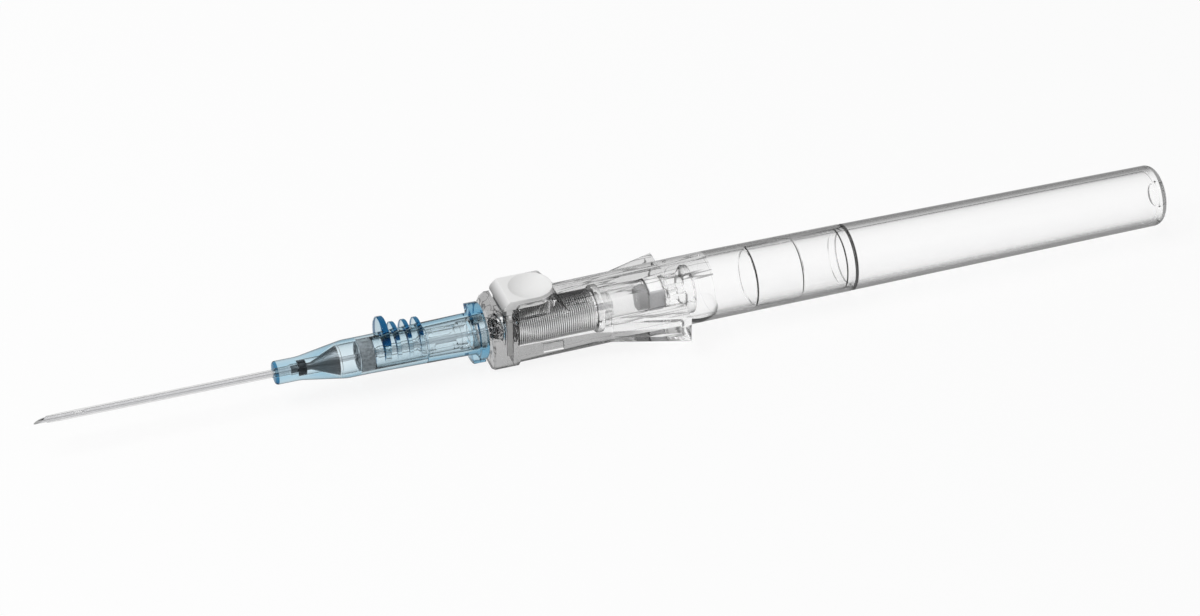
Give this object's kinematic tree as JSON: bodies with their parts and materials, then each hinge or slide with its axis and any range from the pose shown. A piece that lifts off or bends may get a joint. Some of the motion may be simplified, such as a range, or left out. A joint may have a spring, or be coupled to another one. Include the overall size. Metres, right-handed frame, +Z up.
{
  "type": "shielded iv catheter",
  "caption": "Peripheral venous catheter on a steel needle, with a blue blood-control hub and a clear push-button grip whose spring draws the needle back into a closed tube.",
  "frame": {"origin": "under the middle of the device's length, on the surface that it lies on", "axes": "+X along the device from the needle tip to the closed end of the tube, +Z up towards the button, +Y across the wings"},
  "size_m": [0.1516, 0.0154, 0.01],
  "materials": {
    "catheter_tube": "clear soft polyurethane tube",
    "steel": "drawn stainless steel",
    "ring": "matt black",
    "hub": "clear light blue moulding, polished",
    "septum": "matt grey elastomer",
    "clear_inner": "clear polished moulding",
    "adhesive": "clear cured adhesive",
    "vent_plug": "sintered grey plastic",
    "button": "soft satin white moulding",
    "clear_shell": "clear polished polycarbonate"
  },
  "bodies": {
    "barrel": {"grip": "clear_shell", "shield_tube": "clear_shell", "retraction_spring": "steel"},
    "button": {"push_button": "button"},
    "needle_carriage": {"needle": "steel", "needle_adhesive": "adhesive", "needle_hub": "clear_inner", "flash_chamber": "clear_inner", "vent_plug": "vent_plug", "chamber_end_cap": "clear_inner"},
    "catheter": {"catheter_tube": "catheter_tube", "catheter_wedge": "steel", "retaining_ring": "ring", "hub_front": "hub", "hub_rear": "hub", "septum": "septum"},
    "actuator": {"septum_actuator": "clear_inner"}
  },
  "joints": [
    {"name": "button_press", "type": "slide", "parent": "barrel", "child": "button", "axis": [0, 0, -1], "range_m": [0, 0.0015], "stiffness_N_per_m": 400},
    {"name": "needle_retract", "type": "slide", "parent": "barrel", "child": "needle_carriage", "axis": [1, 0, 0], "range_m": [0, 0.063], "deforming": ["retraction_spring"]},
    {"name": "catheter_slide", "type": "slide", "parent": "barrel", "child": "catheter", "axis": [-1, 0, 0], "range_m": [0, 0.064]},
    {"name": "actuator_slide", "type": "slide", "parent": "catheter", "child": "actuator", "axis": [-1, 0, 0], "range_m": [0, 0.003], "deforming": ["septum"]}
  ]
}
